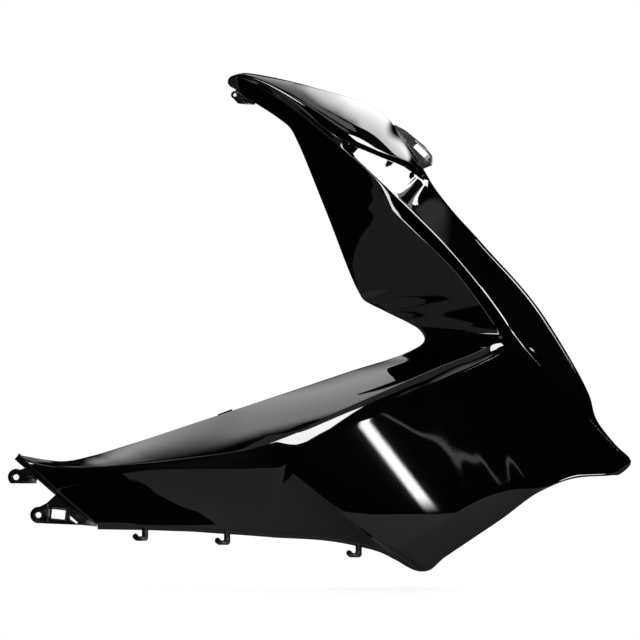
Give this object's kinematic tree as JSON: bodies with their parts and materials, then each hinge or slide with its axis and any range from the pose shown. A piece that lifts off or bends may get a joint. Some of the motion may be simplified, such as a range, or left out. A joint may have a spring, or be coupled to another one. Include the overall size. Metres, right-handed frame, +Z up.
{
  "type": "scooter side panel",
  "caption": "Right front side panel of a scooter: a gloss moulded shell with a V notch for the leg area, a wheel arch edge, rear screw lugs and bottom hooks.",
  "frame": {"origin": "centre of the rear upper lug's screw hole, in the middle of the lug's thickness", "axes": "+X towards the front wheel, +Z up, -Y out of the panel's visible face"},
  "size_m": [0.7815, 0.1139, 0.628],
  "materials": {
    "gloss_black_skin": "gloss black paint over moulded plastic"
  },
  "bodies": {
    "root": {"side_panel": "gloss_black_skin"}
  },
  "joints": []
}
